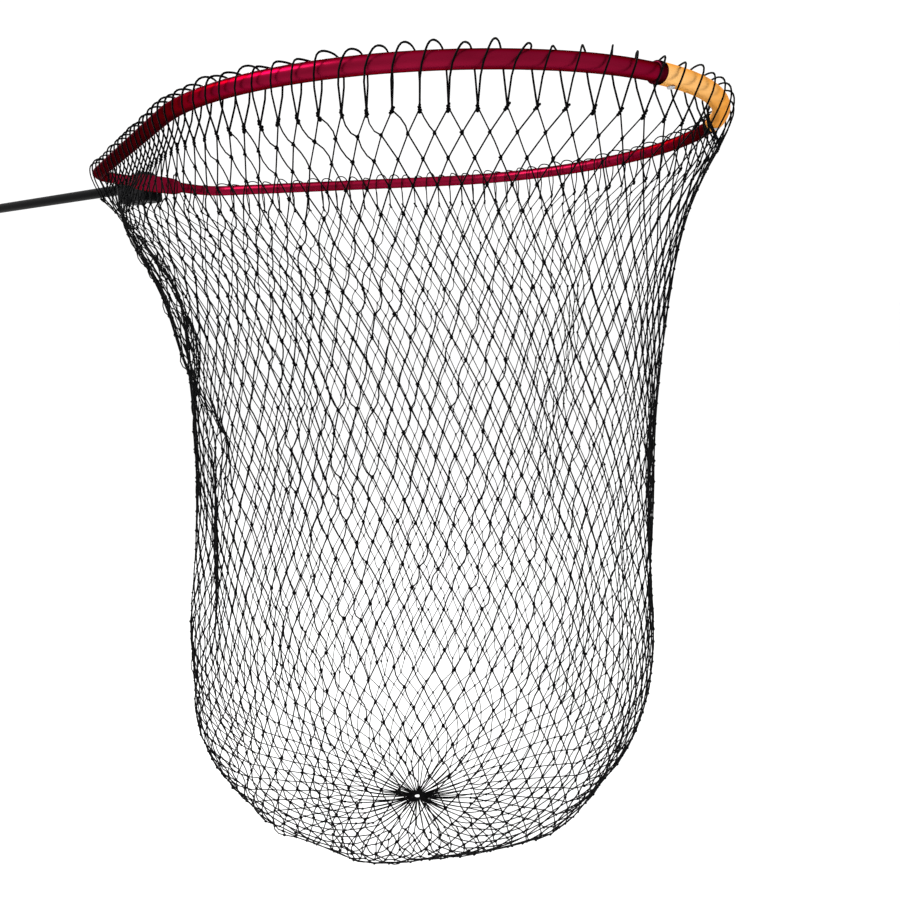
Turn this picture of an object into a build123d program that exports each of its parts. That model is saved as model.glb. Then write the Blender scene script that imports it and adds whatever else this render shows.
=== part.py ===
"""Landing net with a round-tube hoop, a deep mesh bag and a telescopic handle.

The frame's origin is the middle of the hand grip. +X runs along the handle to the
hoop's tip, +Z is up, and the bag hangs down -Z. All sizes are in millimetres.
"""
from build123d import *
from math import asin, atan2, cos, degrees, hypot, pi, radians, sin
import os

os.makedirs("parts", exist_ok=True)

# ---------------------------------------------------------------- driving sizes
hoop_length = 876.0          # transom centre line to tip centre line
hoop_width = 636.0           # side to side, between centre lines
hoop_tube_d = 16.0
hoop_wall = 1.4
transom_straight = 156.0     # straight part of the transom between its shoulders
shoulder_radius = 50.0
haunch_radius = 370.0        # long curve from the widest place towards the tip
haunch_turn = 45.0           # degrees turned where the haunch meets the tip curve

press_height = 26.0          # pressed flat in the middle of the transom
press_thickness = 6.5
press_flat = 56.0            # length that keeps the full height
press_runout = 20.0          # length over which it turns round again
press_fullness = 0.6         # width of its oval, before the flats, as a share of its height
press_slope = 0.25           # how steeply the flats run out

bow_d = 19.0
bow_wall = 1.4
bow_length = 250.0           # along the curve
bow_overlap = 32.0           # red tube inside the bow at each end
ferrule_d = 20.0
ferrule_length = 9.0

yoke_length = 78.0           # rear end to the face that carries the transom
yoke_cheek = 11.75           # plastic beside the handle tube
yoke_keel = 17.75            # plastic under the handle tube
yoke_cover = 4.75            # plastic over the handle tube
yoke_notch = 6.0             # gap between the two lobes
yoke_round = 8.0
web_inset = 2.0              # bridge between the lobes, inside their outline
boss_d = 34.0                # round bump over the front of the yoke
boss_rise = 8.0              # its height above the rest of the yoke
flange_width = 54.0
flange_height = 22.0
flange_thickness = 6.0
flange_round = 6.0
socket_floor = 6.0           # plastic between the handle's end and the flange
rivet_spacing = 42.0
rivet_d = 4.8
rivet_head_d = 9.6
rivet_head_rise = 2.2
washer_d = 8.4
washer_thickness = 1.2
spacer_margin = 7.0          # transom spacer beyond its rivets
spacer_height = 14.3
spacer_round = 3.0
tip_rivet_head_d = 8.0
tip_rivet_shank = 2.0        # shank inside the red tube's wall
tip_rivet_head = 1.2
tip_rivet_taper = 25.0       # slope of its domed head

screw_d = 4.0
screw_head_d = 7.2
screw_head_height = 4.0
screw_sunk = 1.0             # screw head below the yoke's underside
screw_edge = 6.6             # screw's axis to the yoke's side
screw_key = 1.9              # corner radius of the hexagon socket
screw_key_depth = 2.2
insert_length = 8.0
insert_d = 5.8

button_d = 7.5
button_rise = 2.6            # above the yoke when it is out
button_foot_z = 4.4          # top of the button's flange
button_flange_d = 9.2
button_flange = 1.6
spring_strip = 0.7
spring_half_width = 2.5
spring_seat = 2.2            # spring's lower leg above the tube's bore
spring_reach = 27.0          # spring's bend behind the button
spring_heel = 3.0            # length of the bend itself
spring_bend_r = 1.2

inner_tube_d = 16.5
inner_tube_wall = 1.3
inner_exposed = 440.0        # seen between the lock and the yoke
telescope_overlap = 90.0     # inner tube left inside the outer one when drawn out
telescope_gap = 1.55         # inner tube to the outer tube's bore, on the radius
bush_length = 26.0
bush_rim = 4.0               # shoulder of the bush behind the inner tube
bush_wall = 3.0
slide_ring_length = 10.0
slide_ring_set = 3.0         # slide ring ahead of the inner tube's end

outer_tube_wall = 1.3
outer_tube_length = 580.0
grip_wall = 4.9              # foam round the outer tube
grip_length = 260.0
grip_end_step = 1.0          # how much thinner the grip's two ends are
grip_end_length = 39.0
grip_chamfer = 3.0
groove_count = 9
groove_pitch = 17.3
groove_depth = 0.9
cap_rim = 14.0               # butt cap behind the grip
cap_plug = 24.0              # butt cap inside the tube
cap_round = 5.0
lanyard_hole_d = 6.0

lock_seat = 30.0             # lock sleeve over the outer tube
lock_spigot = 20.0           # lock sleeve in front of the outer tube
sleeve_wall = 3.4            # lock sleeve round the outer tube
spigot_wall = 1.6            # the same sleeve where the ring turns on it
spigot_step = 6.0            # where the sleeve steps down, behind the tube's end
collet_length = 12.0
collet_land = 4.0            # straight part before the collet's cone
collet_step = 1.4            # collet's rim below the spigot
collet_tip_wall = 1.6
collet_slot = 1.6
lock_ring_wall = 3.8
lock_ring_lip = 6.0          # ring beyond the collet
lock_ring_nose = 9.0         # length of its coned nose
lock_ring_nose_wall = 4.2
lock_ring_ribs = 18
lock_ring_chamfer = 1.5
rib_groove_r = 1.5
wiper_groove = 2.6
wiper_height = 2.0
wiper_cover = 1.8            # ring in front of the wiper's groove
wiper_gap = 0.1

bag_depth = 975.0            # hoop plane to the bottom of the bag
bag_wall = 2.0
bag_waist_length = 660.0     # bag half way down, along X
bag_waist_width = 580.0
bag_waist_x = 500.0          # middle of the bag, ahead of the transom
bag_foot = 84.0              # flat at the very bottom
bag_foot_x = -35.0           # foot and gather ring, ahead of the bag's middle
bag_rim_inset = 6.0          # bag's rim inside the hoop's centre line
bag_rim_drop = 1.5           # bag's rim under the pressed transom
bag_rim_points = 24
gather_ring_d = 14.0
gather_wire_d = 3.2
gather_lift = 0.5            # ring above the bag's floor

running_gap = 0.05           # sliding and turning fits, on the radius
seat_gap = 0.15              # parts of one body that sit in each other
free_gap = 0.35              # moving parts that must not touch

# ---------------------------------------------------------------- worked out
tube_r = hoop_tube_d / 2
bow_r = bow_d / 2
inner_r = inner_tube_d / 2
inner_bore_r = inner_r - inner_tube_wall
outer_bore_r = inner_r + telescope_gap
outer_r = outer_bore_r + outer_tube_wall
grip_r = outer_r + grip_wall
grip_end_r = grip_r - grip_end_step
yoke_width = inner_tube_d + 2 * yoke_cheek
yoke_depth = inner_r + yoke_keel
yoke_top = inner_r + yoke_cover
boss_top = yoke_top + boss_rise

outer_rear_x = -grip_length / 2
outer_front_x = outer_rear_x + outer_tube_length
lock_rear_x = outer_front_x - lock_seat
spigot_front_x = outer_front_x + lock_spigot
ring_front_x = spigot_front_x + collet_length + lock_ring_lip
yoke_rear_x = ring_front_x + inner_exposed
yoke_front_x = yoke_rear_x + yoke_length
transom_x = yoke_front_x + press_thickness / 2
inner_rear_x = outer_front_x - telescope_overlap
inner_front_x = yoke_front_x - flange_thickness - socket_floor

# Hoop curve: transom, shoulder, straight side, haunch, tip.
half_width = hoop_width / 2
tip_radius = haunch_radius - (haunch_radius - half_width) / cos(radians(haunch_turn))
tip_centre_x = transom_x + hoop_length - tip_radius
haunch_x = tip_centre_x - (haunch_radius - tip_radius) * sin(radians(haunch_turn))
haunch_centre = Vector(haunch_x, half_width - haunch_radius)
shoulder_centre = Vector(transom_x + shoulder_radius, transom_straight / 2)
centre_gap = haunch_centre - shoulder_centre
side_angle = degrees(
    atan2(centre_gap.Y, centre_gap.X)
    + asin((haunch_radius - shoulder_radius) / hypot(centre_gap.X, centre_gap.Y))
)
bow_half_angle = degrees(bow_length / 2 / tip_radius)
overlap_angle = degrees(bow_overlap / tip_radius)
ferrule_angle = degrees(ferrule_length / tip_radius)
press_end_y = press_flat / 2 + press_runout
tip_axis = Axis((tip_centre_x, 0, 0), (0, 0, 1))


def on_arc(centre, radius, heading):
    """Point of an arc that bends to the right, where the path has this heading."""
    turn = radians(heading)
    return centre + Vector(-radius * sin(turn), radius * cos(turn))


def hoop_side(start_y, end_angle):
    """One side of the hoop's centre line, from the transom to an angle off the tip."""
    leave = Vector(transom_x, transom_straight / 2)
    join = on_arc(shoulder_centre, shoulder_radius, side_angle)
    spring = on_arc(haunch_centre, haunch_radius, side_angle)
    turn = on_arc(haunch_centre, haunch_radius, -haunch_turn)
    close = Vector(
        tip_centre_x + tip_radius * cos(radians(end_angle)),
        tip_radius * sin(radians(end_angle)),
    )
    with BuildLine() as side:
        Line((transom_x, start_y), leave)
        RadiusArc(leave, join, shoulder_radius)
        Line(join, spring)
        RadiusArc(spring, turn, haunch_radius)
        RadiusArc(turn, close, tip_radius)
    return side.line


def bow_plane(angle):
    """Upright plane through the tip curve's axis, at an angle off the hoop's axis."""
    out = Vector(cos(radians(angle)), sin(radians(angle)), 0)
    return Plane(origin=(tip_centre_x, 0, 0), x_dir=out, z_dir=out.cross(Vector(0, 0, 1)))


def pressed_tube(inset):
    """Middle of the transom: a round tube pressed flat, as a solid this far inside its skin."""
    high = press_height / 2 - inset
    flat = press_thickness / 2 - inset
    round_r = tube_r - inset
    full = high * press_fullness
    stations = [
        (-press_end_y, round_r, round_r),
        (-press_flat / 2, full, high),
        (0, full, high),
        (press_flat / 2, full, high),
        (press_end_y, round_r, round_r),
    ]
    beyond = 1.0             # cutter outside the tube, so that their faces never meet
    with BuildPart() as body:
        for y, across, up in stations:
            with BuildSketch(Plane((transom_x, y, 0), x_dir=(1, 0, 0), z_dir=(0, 1, 0))):
                Ellipse(across, up)
        loft()
        with BuildSketch(Plane.XY.offset(-press_height)):
            with BuildLine():
                arrive = Spline(
                    (transom_x + round_r + beyond / 2, -press_end_y - beyond),
                    (transom_x + flat, -press_flat / 2),
                    tangents=[(-press_slope, 1), (0, 1)],
                )
                flat_line = Line(arrive @ 1, (transom_x + flat, press_flat / 2))
                depart = Spline(
                    flat_line @ 1,
                    (transom_x + round_r + beyond / 2, press_end_y + beyond),
                    tangents=[(0, 1), (press_slope, 1)],
                )
                mirror(about=Plane((transom_x, 0, 0), z_dir=(1, 0, 0)))
                Line(arrive @ 0, (2 * transom_x - (arrive @ 0).X, (arrive @ 0).Y))
                Line(depart @ 1, (2 * transom_x - (depart @ 1).X, (depart @ 1).Y))
            make_face()
        extrude(amount=2 * press_height, mode=Mode.INTERSECT)
    return body.part


def tip_rivet_planes():
    """Planes that look down the two rivets under the tip bow's ends."""
    rivet_angle = bow_half_angle - overlap_angle / 2
    planes = []
    for angle in (rivet_angle, -rivet_angle):
        x = tip_centre_x + tip_radius * cos(radians(angle))
        y = tip_radius * sin(radians(angle))
        planes.append(Plane((x, y, 0), z_dir=(0, 0, -1)))
    return planes


def save(part, label):
    """Label a finished piece and write it as its own STEP file."""
    part.label = label
    export_step(part, f"parts/{label}.step")


# ---------------------------------------------------------------- hoop
joint_angle = bow_half_angle - overlap_angle
with BuildPart() as hoop_tube:
    with BuildLine():
        add(hoop_side(press_end_y, joint_angle))
    with BuildSketch(Plane((transom_x, press_end_y, 0), z_dir=(0, 1, 0))):
        Circle(tube_r)
        Circle(tube_r - hoop_wall, mode=Mode.SUBTRACT)
    sweep()
    mirror(about=Plane.XZ)
    add(pressed_tube(0))
    add(pressed_tube(hoop_wall), mode=Mode.SUBTRACT)
    for y in (-rivet_spacing / 2, rivet_spacing / 2):
        with BuildSketch(Plane((transom_x - press_height, y, 0), z_dir=(1, 0, 0))):
            Circle(rivet_d / 2 + seat_gap)
        extrude(amount=2 * press_height, mode=Mode.SUBTRACT)
    for plane in tip_rivet_planes():
        with BuildSketch(plane):
            Circle(rivet_d / 2)
        extrude(amount=bow_d, mode=Mode.SUBTRACT)
save(hoop_tube.part, "hoop_tube")

with BuildPart() as tip_bow:
    with BuildSketch(bow_plane(-bow_half_angle)):
        with Locations((tip_radius, 0)):
            Circle(bow_r)
            Circle(bow_r - bow_wall, mode=Mode.SUBTRACT)
    revolve(axis=tip_axis, revolution_arc=2 * bow_half_angle)
    for plane in tip_rivet_planes():
        with BuildSketch(plane):
            Circle(rivet_d / 2)
        extrude(amount=bow_d, mode=Mode.SUBTRACT)
save(tip_bow.part, "tip_bow")

for name, start in (
    ("tip_ferrule_far", bow_half_angle),
    ("tip_ferrule_near", -bow_half_angle - ferrule_angle),
):
    with BuildPart() as ferrule:
        with BuildSketch(bow_plane(start)):
            with Locations((tip_radius, 0)):
                Circle(ferrule_d / 2)
                Circle(tube_r + running_gap, mode=Mode.SUBTRACT)
        revolve(axis=tip_axis, revolution_arc=ferrule_angle)
        rims = ferrule.edges().filter_by(GeomType.CIRCLE)
        rims = [rim for rim in rims if abs(rim.radius - ferrule_d / 2) < 0.01]
        fillet(rims, 0.9 * (ferrule_d / 2 - tube_r - running_gap))
    save(ferrule.part, name)

shank_start = tube_r - hoop_wall - tip_rivet_shank
with BuildPart() as tip_rivets:
    for plane in tip_rivet_planes():
        with BuildSketch(plane.offset(shank_start)):
            Circle(rivet_d / 2 - seat_gap)
        extrude(amount=bow_r + running_gap - shank_start)
        with BuildSketch(plane.offset(bow_r + running_gap)):
            Circle(tip_rivet_head_d / 2)
        extrude(amount=tip_rivet_head, taper=tip_rivet_taper)
save(tip_rivets.part, "tip_rivets")

# Spacer that keeps the pressed tube from closing under its rivets.
with BuildPart() as transom_insert:
    spacer_thickness = press_thickness - 2 * hoop_wall - 2 * seat_gap
    with BuildSketch(Plane((transom_x - spacer_thickness / 2, 0, 0), x_dir=(0, 1, 0), z_dir=(1, 0, 0))):
        RectangleRounded(rivet_spacing + 2 * spacer_margin, spacer_height, spacer_round)
        with GridLocations(rivet_spacing, 0, 2, 1):
            Circle(rivet_d / 2 + seat_gap, mode=Mode.SUBTRACT)
    extrude(amount=spacer_thickness)
save(transom_insert.part, "transom_insert")

# ---------------------------------------------------------------- yoke
flange_rear_x = yoke_front_x - flange_thickness
lobe_length = (yoke_length - flange_thickness - yoke_notch) / 2
rear_lobe_x = yoke_rear_x + lobe_length / 2
front_lobe_x = flange_rear_x - lobe_length / 2
boss_x = flange_rear_x - boss_d / 2
button_x = rear_lobe_x
screw_y = yoke_width / 2 - screw_edge
screw_places = [(x, y) for x in (rear_lobe_x, front_lobe_x) for y in (-screw_y, screw_y)]


def handle_bore(radius):
    """Solid rod in the place of the handle's front end, for cutting its socket."""
    with BuildPart() as rod:
        with BuildSketch(Plane.YZ.offset(inner_rear_x)):
            Circle(radius)
        extrude(amount=inner_front_x - inner_rear_x + seat_gap)
    return rod.part


with BuildPart() as yoke_lower:
    for x in (rear_lobe_x, front_lobe_x):
        with BuildSketch(Plane((x, 0, -yoke_depth))):
            RectangleRounded(lobe_length, yoke_width, yoke_round)
        extrude(amount=yoke_depth)
        fillet(yoke_lower.faces().group_by(Axis.Z)[0].edges(), yoke_round * 0.7)
    with BuildSketch(Plane((yoke_rear_x + yoke_length / 2 - web_inset, 0, yoke_notch - yoke_depth))):
        Rectangle(yoke_length - yoke_round * 2, yoke_width - 2 * web_inset)
    extrude(amount=yoke_depth - yoke_notch)
    with BuildSketch(Plane.YZ.offset(flange_rear_x)):
        RectangleRounded(flange_width, flange_height, flange_round)
        with GridLocations(rivet_spacing, 0, 2, 1):
            Circle(rivet_d / 2 + seat_gap, mode=Mode.SUBTRACT)
    extrude(amount=flange_thickness)
    add(handle_bore(inner_r + seat_gap), mode=Mode.SUBTRACT)
    for x, y in screw_places:
        with BuildSketch(Plane((x, y, -yoke_depth))):
            Circle(screw_head_d / 2 + free_gap)
        extrude(amount=screw_sunk + screw_head_height, mode=Mode.SUBTRACT)
        with BuildSketch(Plane((x, y, -yoke_depth))):
            Circle(screw_d / 2 + seat_gap)
        extrude(amount=yoke_depth, mode=Mode.SUBTRACT)
save(yoke_lower.part, "yoke_lower")

with BuildPart() as yoke_upper:
    with BuildSketch(Plane((yoke_rear_x + (yoke_length - flange_thickness) / 2, 0, 0))):
        RectangleRounded(yoke_length - flange_thickness - 2 * seat_gap, yoke_width, yoke_round)
    extrude(amount=yoke_top)
    fillet(yoke_upper.faces().group_by(Axis.Z)[-1].edges(), yoke_round * 0.6)
    with BuildSketch(Plane((boss_x, 0, yoke_top - yoke_round))):
        Circle(boss_d / 2 - seat_gap)
    extrude(amount=boss_top - yoke_top + yoke_round)
    fillet(yoke_upper.faces().group_by(Axis.Z)[-1].edges(), boss_top - yoke_top - 0.5)
    add(handle_bore(inner_r + seat_gap), mode=Mode.SUBTRACT)
    with BuildSketch(Plane((button_x, 0, 0))):
        Circle(button_d / 2 + free_gap)
    extrude(amount=boss_top, mode=Mode.SUBTRACT)
    for x, y in screw_places:
        with BuildSketch(Plane((x, y, 0))):
            Circle(insert_d / 2 + seat_gap)
        extrude(amount=insert_length + seat_gap, mode=Mode.SUBTRACT)
save(yoke_upper.part, "yoke_upper")

with BuildPart() as yoke_inserts:
    for x, y in screw_places:
        with BuildSketch(Plane((x, y, seat_gap))):
            Circle(insert_d / 2)
            Circle(screw_d / 2 + seat_gap, mode=Mode.SUBTRACT)
        extrude(amount=insert_length - seat_gap)
save(yoke_inserts.part, "yoke_inserts")

with BuildPart() as yoke_screws:
    for x, y in screw_places:
        head_z = screw_sunk - yoke_depth
        with BuildSketch(Plane((x, y, head_z))):
            Circle(screw_head_d / 2)
        extrude(amount=screw_head_height)
        with BuildSketch(Plane((x, y, head_z))):
            Circle(screw_d / 2)
        extrude(amount=insert_length - screw_sunk - head_z)
        with BuildSketch(Plane((x, y, head_z))):
            RegularPolygon(screw_key, 6)
        extrude(amount=screw_key_depth, mode=Mode.SUBTRACT)
save(yoke_screws.part, "yoke_screws")

# Rivets through the pressed transom and the yoke's flange.
with BuildPart() as transom_rivets:
    front_face_x = transom_x + press_thickness / 2
    for y in (-rivet_spacing / 2, rivet_spacing / 2):
        with BuildSketch(Plane((flange_rear_x, y, 0), z_dir=(1, 0, 0))):
            Circle(rivet_d / 2)
        extrude(amount=front_face_x + rivet_head_rise / 2 - flange_rear_x)
        with BuildSketch(Plane((front_face_x + running_gap, y, 0), z_dir=(1, 0, 0))):
            Circle(rivet_head_d / 2)
        extrude(amount=rivet_head_rise)
    fillet(transom_rivets.faces().group_by(Axis.X)[-1].edges(), rivet_head_rise * 0.8)
save(transom_rivets.part, "transom_rivets")

with BuildPart() as rivet_washers:
    for y in (-rivet_spacing / 2, rivet_spacing / 2):
        with BuildSketch(Plane((flange_rear_x - running_gap, y, 0), z_dir=(-1, 0, 0))):
            Circle(washer_d / 2)
            Circle(rivet_d / 2 + seat_gap, mode=Mode.SUBTRACT)
        extrude(amount=washer_thickness)
save(rivet_washers.part, "rivet_washers")

# ---------------------------------------------------------------- inner handle tube
with BuildPart() as inner_tube:
    with BuildSketch(Plane.YZ.offset(inner_rear_x)):
        Circle(inner_r)
        Circle(inner_bore_r, mode=Mode.SUBTRACT)
    extrude(amount=inner_front_x - inner_rear_x)
    with BuildSketch(Plane((button_x, 0, 0))):
        Circle(button_d / 2 + free_gap)
    extrude(amount=inner_tube_d, mode=Mode.SUBTRACT)
save(inner_tube.part, "inner_tube")

with BuildPart() as guide_bush:
    with BuildSketch(Plane.YZ.offset(inner_rear_x - bush_rim)):
        Circle(outer_bore_r - running_gap)
        Circle(inner_bore_r - bush_wall, mode=Mode.SUBTRACT)
    extrude(amount=bush_rim - seat_gap)
    with BuildSketch(Plane.YZ.offset(inner_rear_x - bush_rim)):
        Circle(inner_bore_r - seat_gap)
        Circle(inner_bore_r - bush_wall, mode=Mode.SUBTRACT)
    extrude(amount=bush_length)
save(guide_bush.part, "guide_bush")

# Rub ring that keeps the inner tube central while it slides.
with BuildPart() as slide_ring:
    with BuildSketch(Plane.YZ.offset(inner_rear_x + slide_ring_set)):
        Circle(outer_bore_r - running_gap)
        Circle(inner_r + seat_gap, mode=Mode.SUBTRACT)
    extrude(amount=slide_ring_length)
save(slide_ring.part, "slide_ring")

# Snap button that holds the handle in the yoke.
button_top_z = yoke_top + button_rise
with BuildPart() as snap_button:
    with BuildSketch(Plane((button_x, 0, button_foot_z - button_flange))):
        Circle(button_flange_d / 2)
    extrude(amount=button_flange)
    with BuildSketch(Plane((button_x, 0, button_foot_z))):
        Circle(button_d / 2)
    extrude(amount=button_top_z - button_foot_z)
    fillet(snap_button.faces().sort_by(Axis.Z)[-1].edges(), button_d * 0.3)
save(snap_button.part, "snap_button")

spring_top_z = button_foot_z - button_flange - spring_strip
spring_foot_z = spring_seat - inner_bore_r
with BuildPart() as snap_spring:
    with BuildSketch(Plane.XZ):
        with BuildLine() as strip:
            FilletPolyline(
                (button_x + button_flange_d / 2, spring_top_z),
                (button_x - button_flange_d / 2, spring_top_z),
                (button_x - spring_reach, (spring_top_z + spring_foot_z) / 2),
                (button_x - spring_reach + spring_heel, spring_foot_z),
                (button_x + button_flange_d / 2, spring_foot_z),
                radius=spring_bend_r,
            )
        trace(line_width=spring_strip)
    extrude(amount=spring_half_width, both=True)
save(snap_spring.part, "snap_spring")

# ---------------------------------------------------------------- outer handle
with BuildPart() as outer_tube:
    with BuildSketch(Plane.YZ.offset(outer_rear_x)):
        Circle(outer_r)
        Circle(outer_bore_r, mode=Mode.SUBTRACT)
    extrude(amount=outer_tube_length)
save(outer_tube.part, "outer_tube")

grip_front_x = outer_rear_x + grip_length
with BuildPart() as grip:
    with BuildSketch(Plane.XZ):
        with BuildLine():
            Polyline(
                (outer_rear_x, outer_r + seat_gap),
                (outer_rear_x, grip_end_r),
                (outer_rear_x + grip_end_length - grip_chamfer, grip_end_r),
                (outer_rear_x + grip_end_length, grip_r),
                (grip_front_x - grip_end_length, grip_r),
                (grip_front_x - grip_end_length + grip_chamfer, grip_end_r),
                (grip_front_x - grip_chamfer, grip_end_r),
                (grip_front_x, grip_end_r - grip_chamfer),
                (grip_front_x, outer_r + seat_gap),
                close=True,
            )
        make_face()
    revolve(axis=Axis.X)
    for index in range(groove_count):
        groove_x = (index - (groove_count - 1) / 2) * groove_pitch
        with BuildSketch(Plane.YZ.offset(groove_x - groove_depth)):
            Circle(grip_r + grip_wall)
            Circle(grip_r - groove_depth, mode=Mode.SUBTRACT)
        extrude(amount=2 * groove_depth, mode=Mode.SUBTRACT)
save(grip.part, "grip")

with BuildPart() as butt_cap:
    with BuildSketch(Plane.YZ.offset(outer_rear_x - cap_rim)):
        Circle(grip_end_r)
    extrude(amount=cap_rim - seat_gap)
    fillet(butt_cap.faces().sort_by(Axis.X)[0].edges(), cap_round)
    with BuildSketch(Plane.YZ.offset(outer_rear_x - cap_rim / 2)):
        Circle(outer_bore_r - seat_gap)
    extrude(amount=cap_rim / 2 + cap_plug)
    with BuildSketch(Plane((outer_rear_x - cap_rim / 2, 0, 0), z_dir=(0, 1, 0))):
        Circle(lanyard_hole_d / 2)
    extrude(amount=grip_r, both=True, mode=Mode.SUBTRACT)
save(butt_cap.part, "butt_cap")

# ---------------------------------------------------------------- twist lock
spigot_r = outer_r + spigot_wall
sleeve_r = outer_r + sleeve_wall
step_x = outer_front_x - spigot_step
with BuildPart() as lock_sleeve:
    with BuildSketch(Plane.XZ):
        with BuildLine():
            Polyline(
                (lock_rear_x, outer_r + seat_gap),
                (lock_rear_x, sleeve_r - lock_ring_chamfer),
                (lock_rear_x + lock_ring_chamfer, sleeve_r),
                (step_x, sleeve_r),
                (step_x, spigot_r),
                (spigot_front_x, spigot_r),
                (spigot_front_x, inner_r + free_gap),
                (outer_front_x + seat_gap, inner_r + free_gap),
                (outer_front_x + seat_gap, outer_r + seat_gap),
                close=True,
            )
        make_face()
    revolve(axis=Axis.X)
save(lock_sleeve.part, "lock_sleeve")

collet_rear_x = spigot_front_x + seat_gap
collet_cone_x = spigot_front_x + collet_land
collet_front_x = spigot_front_x + collet_length
with BuildPart() as collet:
    with BuildSketch(Plane.XZ):
        with BuildLine():
            Polyline(
                (collet_rear_x, inner_r + running_gap),
                (collet_rear_x, spigot_r - collet_step),
                (collet_cone_x, spigot_r - collet_step),
                (collet_front_x, inner_r + collet_tip_wall),
                (collet_front_x, inner_r + running_gap),
                close=True,
            )
        make_face()
    revolve(axis=Axis.X)
    with BuildSketch(Plane(((collet_rear_x + collet_front_x) / 2, 0, 0))):
        Rectangle(2 * collet_length, collet_slot)
    extrude(amount=outer_r + spigot_wall, mode=Mode.SUBTRACT)
save(collet.part, "collet")

ring_rear_x = step_x + free_gap
ring_r = spigot_r + lock_ring_wall
ring_bore_r = inner_r + free_gap
wiper_front_x = ring_front_x - wiper_cover
wiper_rear_x = wiper_front_x - wiper_groove
with BuildPart() as lock_ring:
    with BuildSketch(Plane.XZ):
        with BuildLine():
            Polyline(
                (ring_rear_x, spigot_r + running_gap),
                (ring_rear_x, ring_r - lock_ring_chamfer),
                (ring_rear_x + lock_ring_chamfer, ring_r),
                (ring_front_x - lock_ring_nose, ring_r),
                (ring_front_x, inner_r + lock_ring_nose_wall),
                (ring_front_x, ring_bore_r),
                (wiper_front_x, ring_bore_r),
                (wiper_front_x, inner_r + wiper_height),
                (wiper_rear_x, inner_r + wiper_height),
                (wiper_rear_x, ring_bore_r),
                (collet_front_x + free_gap, ring_bore_r),
                (collet_front_x + free_gap, ring_bore_r + collet_tip_wall),
                (collet_cone_x + free_gap, spigot_r - collet_step + free_gap),
                (spigot_front_x + free_gap, spigot_r + running_gap),
                close=True,
            )
        make_face()
    revolve(axis=Axis.X)
    for index in range(lock_ring_ribs):
        turn = 2 * pi * index / lock_ring_ribs
        with BuildSketch(Plane.YZ.offset(ring_rear_x + lock_ring_chamfer)):
            with Locations((ring_r * cos(turn), ring_r * sin(turn))):
                Circle(rib_groove_r)
        extrude(
            amount=ring_front_x - lock_ring_nose - 2 * lock_ring_chamfer - ring_rear_x,
            mode=Mode.SUBTRACT,
        )
save(lock_ring.part, "lock_ring")

with BuildPart() as wiper_ring:
    with BuildSketch(Plane.YZ.offset(wiper_rear_x + wiper_gap)):
        Circle(inner_r + wiper_height - wiper_gap)
        Circle(inner_r + running_gap, mode=Mode.SUBTRACT)
    extrude(amount=wiper_groove - 2 * wiper_gap)
save(wiper_ring.part, "wiper_ring")

# ---------------------------------------------------------------- bag
bag_x = transom_x + bag_waist_x
foot_x = bag_x + bag_foot_x
top_z = -press_height / 2 - bag_rim_drop
with BuildLine() as hoop_loop:
    add(hoop_side(0, 0))
    mirror(about=Plane.XZ)
rim = Wire(hoop_loop.line.edges()).offset_2d(-bag_rim_inset)
bag_levels = [              # share of the depth, length, width, forward shift
    (0.09, 1.20, 1.02, -38.0),
    (0.21, 1.04, 1.00, -6.0),
    (0.42, 1.00, 1.00, 0.0),
    (0.58, 1.01, 1.01, -4.0),
    (0.72, 1.03, 1.02, -10.0),
    (0.84, 0.95, 0.94, -12.0),
    (0.92, 0.74, 0.73, -18.0),
    (0.975, 0.42, 0.42, -28.0),
]


def bag_skin(inset):
    """Closed solid of the bag's outside, drawn in by the wall for the inside."""
    rim_points = [rim.position_at(index / bag_rim_points) for index in range(bag_rim_points)]
    with BuildPart() as body:
        with BuildSketch(Plane.XY.offset(top_z + inset / 2)):
            with BuildLine():
                pull = [
                    point - (point - Vector(bag_x, 0, 0)).normalized() * inset
                    for point in rim_points
                ]
                Spline(*[(p.X, p.Y) for p in pull], periodic=True)
            make_face()
        for share, long, wide, shift in bag_levels:
            with BuildSketch(Plane((bag_x + shift, 0, -bag_depth * share))):
                with BuildLine():
                    ring = []
                    for p in rim_points:
                        turn = atan2(p.Y / hoop_width, (p.X - bag_x) / hoop_length)
                        ring.append((
                            (bag_waist_length / 2 * long - inset) * cos(turn),
                            (bag_waist_width / 2 * wide - inset) * sin(turn),
                        ))
                    Spline(*ring, periodic=True)
                make_face()
        with BuildSketch(Plane((foot_x, 0, inset - bag_depth))):
            Circle(bag_foot / 2 - inset)
        loft()
    return body.part


with BuildPart() as net_bag:
    add(bag_skin(0))
    add(bag_skin(bag_wall), mode=Mode.SUBTRACT)
save(net_bag.part, "net_bag")

ring_z = bag_wall + gather_wire_d / 2 + gather_lift - bag_depth
with BuildPart() as gather_ring:
    with BuildSketch(Plane((foot_x, 0, ring_z), x_dir=(1, 0, 0), z_dir=(0, -1, 0))):
        with Locations((gather_ring_d / 2, 0)):
            Circle(gather_wire_d / 2)
    revolve(axis=Axis((foot_x, 0, 0), (0, 0, 1)))
save(gather_ring.part, "gather_ring")
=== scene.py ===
"""Looks of a landing net: anodised hoop, moulded yoke, knotted twine bag and telescopic handle.

Everything is in metres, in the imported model's frame: the origin is the middle of the grip,
+X runs to the hoop's tip, +Z is up and the bag hangs down.
"""
import logging
import math
from dataclasses import dataclass, field
from enum import Enum

import bmesh
import bpy
import numpy as np
from mathutils import Matrix, Vector


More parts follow.
